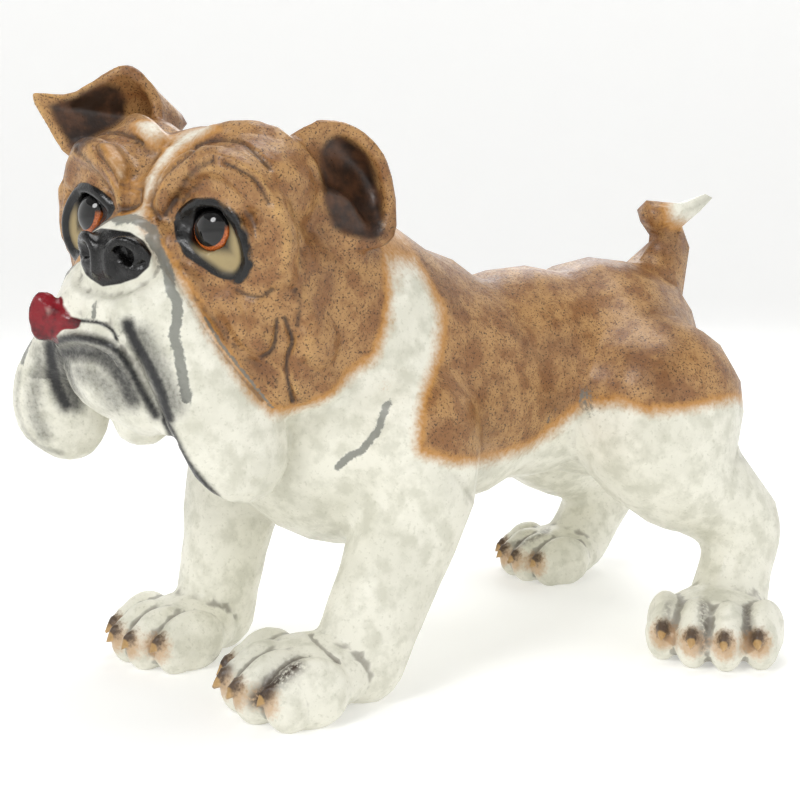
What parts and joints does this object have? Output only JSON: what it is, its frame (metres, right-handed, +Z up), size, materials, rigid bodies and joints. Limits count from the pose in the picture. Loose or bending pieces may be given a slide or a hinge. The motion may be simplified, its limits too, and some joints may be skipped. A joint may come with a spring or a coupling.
{
  "type": "bulldog garden statue",
  "caption": "Standing bulldog figure in painted resin with a turned head, one raised ear and hanging lips. It decorates a garden, porch or hall from the ground.",
  "frame": {"origin": "middle of the figure's bounding box, on the ground plane under its paws", "axes": "+Z up, -Y is the way the body faces, +X is the dog's left side"},
  "size_m": [0.3, 0.5119, 0.372],
  "materials": {
    "painted_resin": "hand-painted cast resin: cream with tan and sienna patches, dark shading in the folds, satin varnish",
    "eye_glass": "polished dark dome with an orange ring along its lower edge"
  },
  "bodies": {
    "root": {"statue": "painted_resin", "left_eye": "eye_glass", "right_eye": "eye_glass"}
  },
  "joints": []
}
